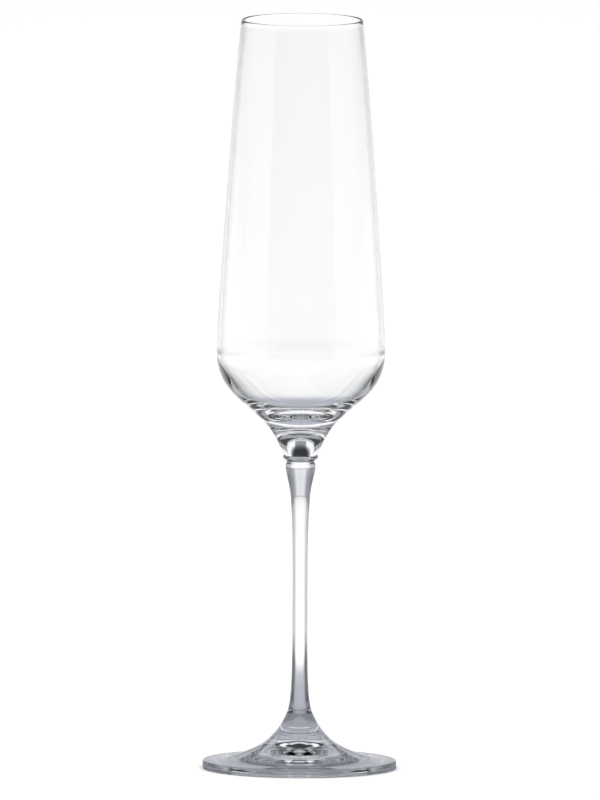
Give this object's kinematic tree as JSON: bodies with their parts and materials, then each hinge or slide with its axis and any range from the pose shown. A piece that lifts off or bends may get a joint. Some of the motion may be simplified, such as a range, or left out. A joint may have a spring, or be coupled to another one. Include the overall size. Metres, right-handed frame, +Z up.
{
  "type": "champagne flute",
  "caption": "Tall clear-glass flute for sparkling wine: inward-tapering bowl with a cone-shaped base, slim solid stem with flared ends, and a round flat foot.",
  "frame": {"origin": "centre of the foot, on the surface that the glass stands on", "axes": "+Z up along the stem to the rim; the glass is round, so +X and +Y are alike"},
  "size_m": [0.063, 0.063, 0.245],
  "materials": {
    "clear_glass": "fire-polished colourless crystal glass"
  },
  "bodies": {
    "root": {"bowl": "clear_glass", "stem": "clear_glass", "foot": "clear_glass"}
  },
  "joints": []
}
